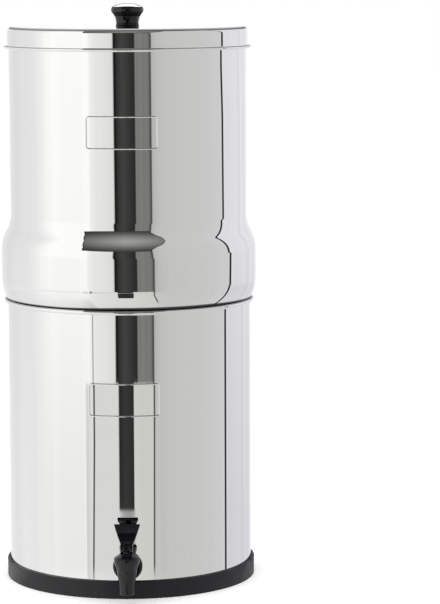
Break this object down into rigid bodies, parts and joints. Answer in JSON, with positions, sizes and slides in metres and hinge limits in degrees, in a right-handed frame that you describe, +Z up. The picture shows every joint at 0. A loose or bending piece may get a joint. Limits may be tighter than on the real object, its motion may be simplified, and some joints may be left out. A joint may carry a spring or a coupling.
{
  "type": "gravity water filter",
  "caption": "Gravity water filter: nested stainless chambers with rolled rims, a lid with a knob, carbon filter elements, blocking plugs, a rubber base ring and a self-closing lever tap.",
  "frame": {"origin": "on the chambers' common axis, in the plane of the base ring's underside", "axes": "+Z up along the chambers' axis, -Y out through the tap, +X to the right of someone who faces the tap"},
  "size_m": [0.2527, 0.2873, 0.5696],
  "materials": {
    "steel": "mirror-polished stainless steel",
    "hardware": "plain stainless fasteners",
    "black_plastic": "black moulded plastic, semi-gloss",
    "knob_plastic": "black phenolic, glossy",
    "rubber": "black rubber, satin",
    "silicone": "translucent white silicone",
    "carbon": "moulded carbon block, matt and finely porous",
    "white_plastic": "white moulded plastic",
    "brass": "turned brass"
  },
  "bodies": {
    "lower": {"base_ring": "rubber", "lower_chamber": "steel", "tap_body": "black_plastic", "tap_outer_washer": "rubber", "tap_inner_washer": "rubber", "tap_nut": "black_plastic", "tap_bonnet": "black_plastic", "tap_seat_cup": "silicone"},
    "stem": {"tap_stem": "hardware"},
    "lever": {"tap_lever": "black_plastic", "tap_pin": "hardware"},
    "upper": {"upper_chamber": "steel", "filter_left_block": "carbon", "filter_left_base": "black_plastic", "filter_left_washer": "rubber", "filter_left_nut": "white_plastic", "filter_right_block": "carbon", "filter_right_base": "black_plastic", "filter_right_washer": "rubber", "filter_right_nut": "white_plastic", "plug_front": "white_plastic", "plug_front_washer": "rubber", "plug_front_nut": "white_plastic", "plug_back": "white_plastic", "plug_back_washer": "rubber", "plug_back_nut": "white_plastic"},
    "lid": {"lid_shell": "steel", "lid_knob": "knob_plastic", "knob_insert": "brass", "knob_screw": "hardware", "knob_washer": "hardware"}
  },
  "joints": [
    {"name": "upper_lift", "type": "slide", "parent": "lower", "child": "upper", "axis": [0, 0, 1], "range_m": [0, 0.12]},
    {"name": "lid_lift", "type": "slide", "parent": "upper", "child": "lid", "axis": [0, 0, 1], "range_m": [0, 0.12]},
    {"name": "stem_lift", "type": "slide", "parent": "lower", "child": "stem", "axis": [0, 0, 1], "range_m": [0, 0.0022], "deforming": ["tap_seat_cup"]},
    {"name": "lever_turn", "type": "hinge", "parent": "stem", "child": "lever", "pos_m": [0, -0.14865, 0.055], "axis": [1, 0, 0], "range_deg": [0, 40], "stiffness_Nm_per_rad": 0.05, "springref_deg": -17.19}
  ],
  "couplings": [
    {"joint": "lever_turn", "follows": "stem_lift", "rad_per_m": 317.33}
  ]
}
